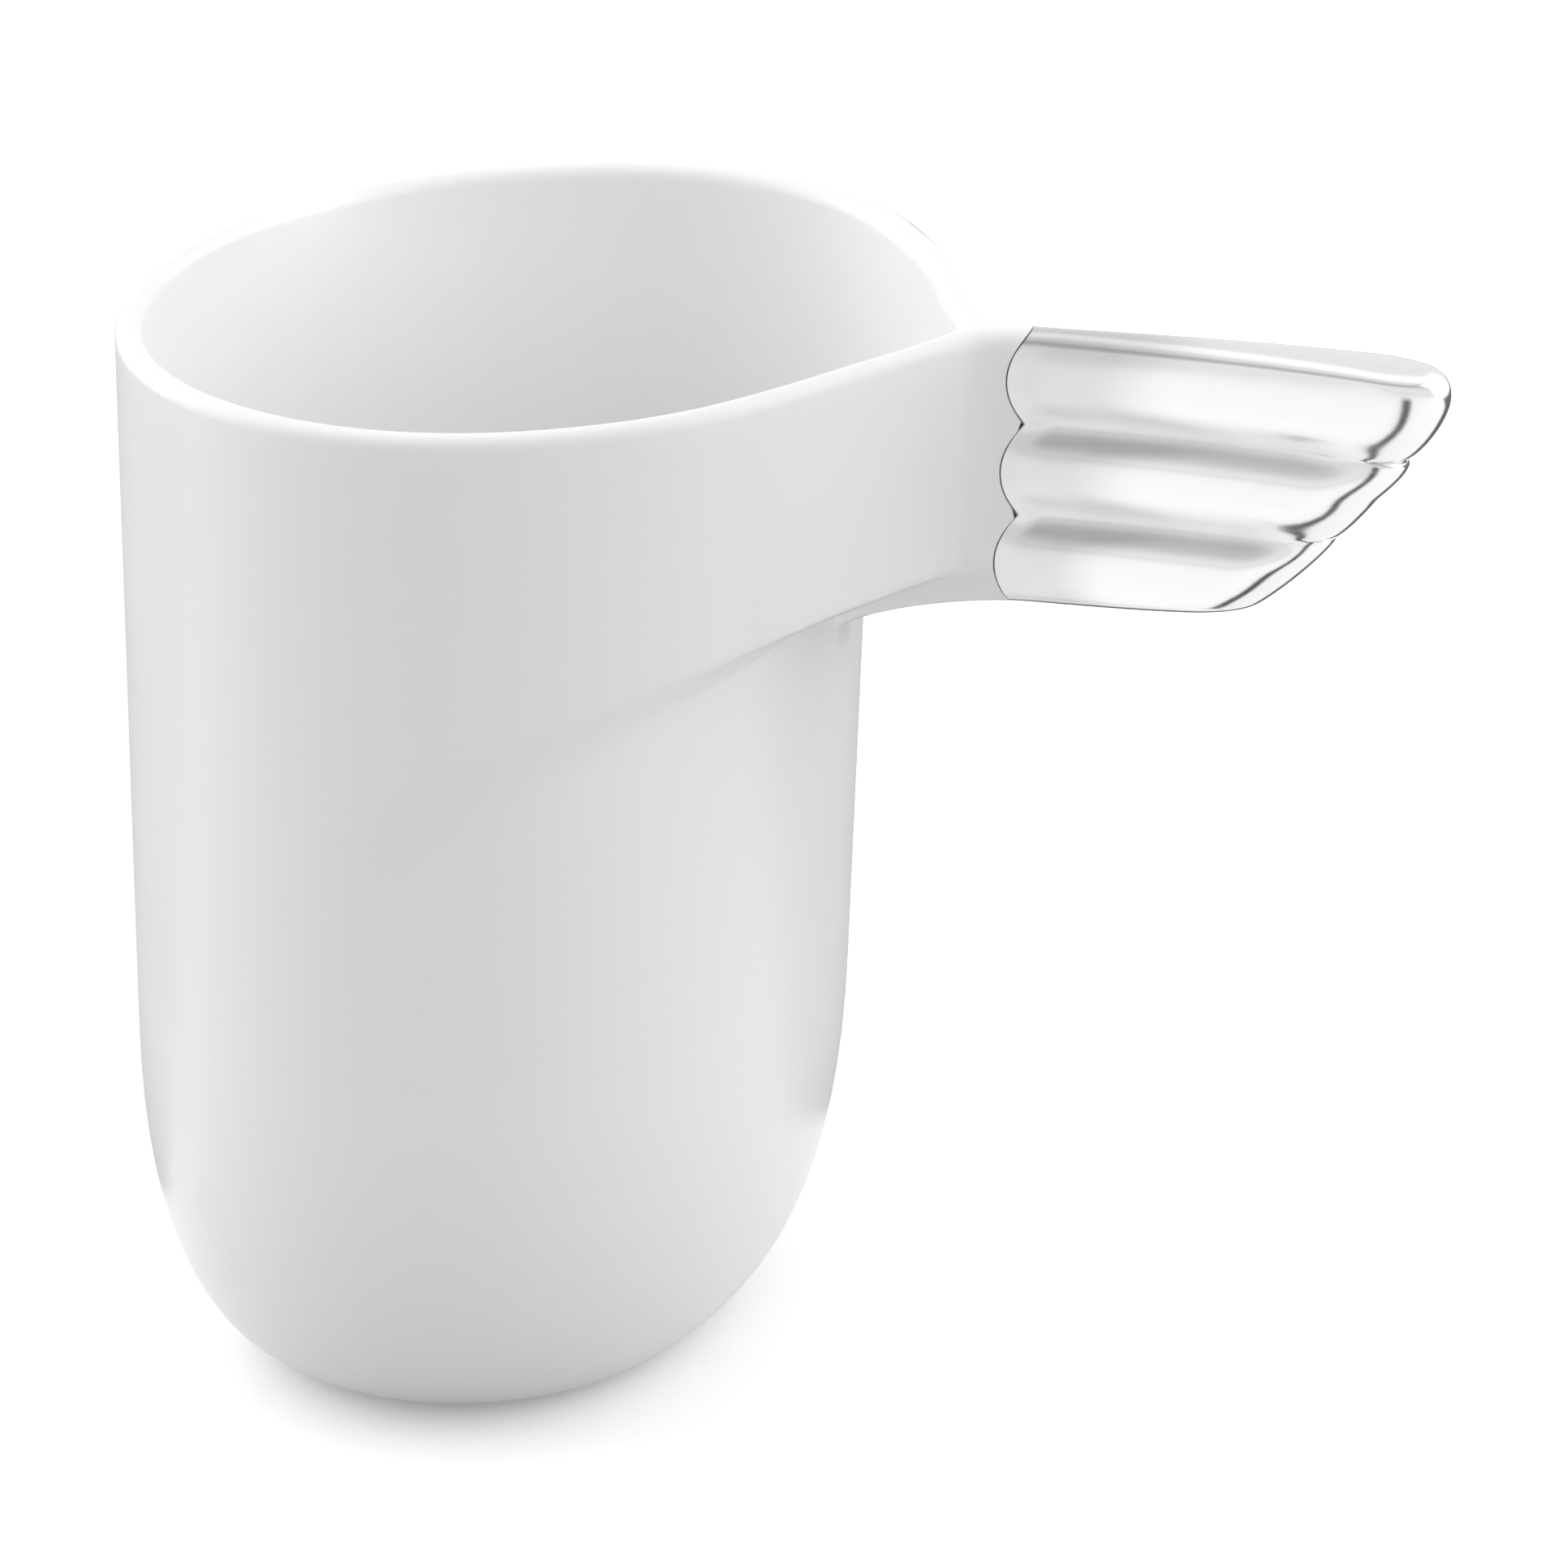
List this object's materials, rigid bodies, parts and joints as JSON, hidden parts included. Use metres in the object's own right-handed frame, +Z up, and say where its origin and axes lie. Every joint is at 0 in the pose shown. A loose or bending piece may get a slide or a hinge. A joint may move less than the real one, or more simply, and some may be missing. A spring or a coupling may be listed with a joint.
{
  "type": "shaving mug",
  "caption": "Tall oval porcelain mug for shaving lather, its collar drawn out into a flat root that carries a silver-plated wing-shaped handle.",
  "frame": {"origin": "middle of the cup's lower body on the surface that the mug stands on", "axes": "+X along the handle from the body's axis to the wing's tip, +Z up, out of the cup's mouth"},
  "size_m": [0.1293, 0.0878, 0.11],
  "materials": {
    "porcelain": "clear gloss glaze over white porcelain",
    "silver_plate": "polished silver plate over pressed sheet",
    "filler": "cast filling cement, hidden",
    "adhesive": "cured adhesive line"
  },
  "bodies": {
    "root": {"cup": "porcelain", "wing_front_shell": "silver_plate", "wing_back_shell": "silver_plate", "wing_filler": "filler", "joint_seal": "adhesive"}
  },
  "joints": []
}
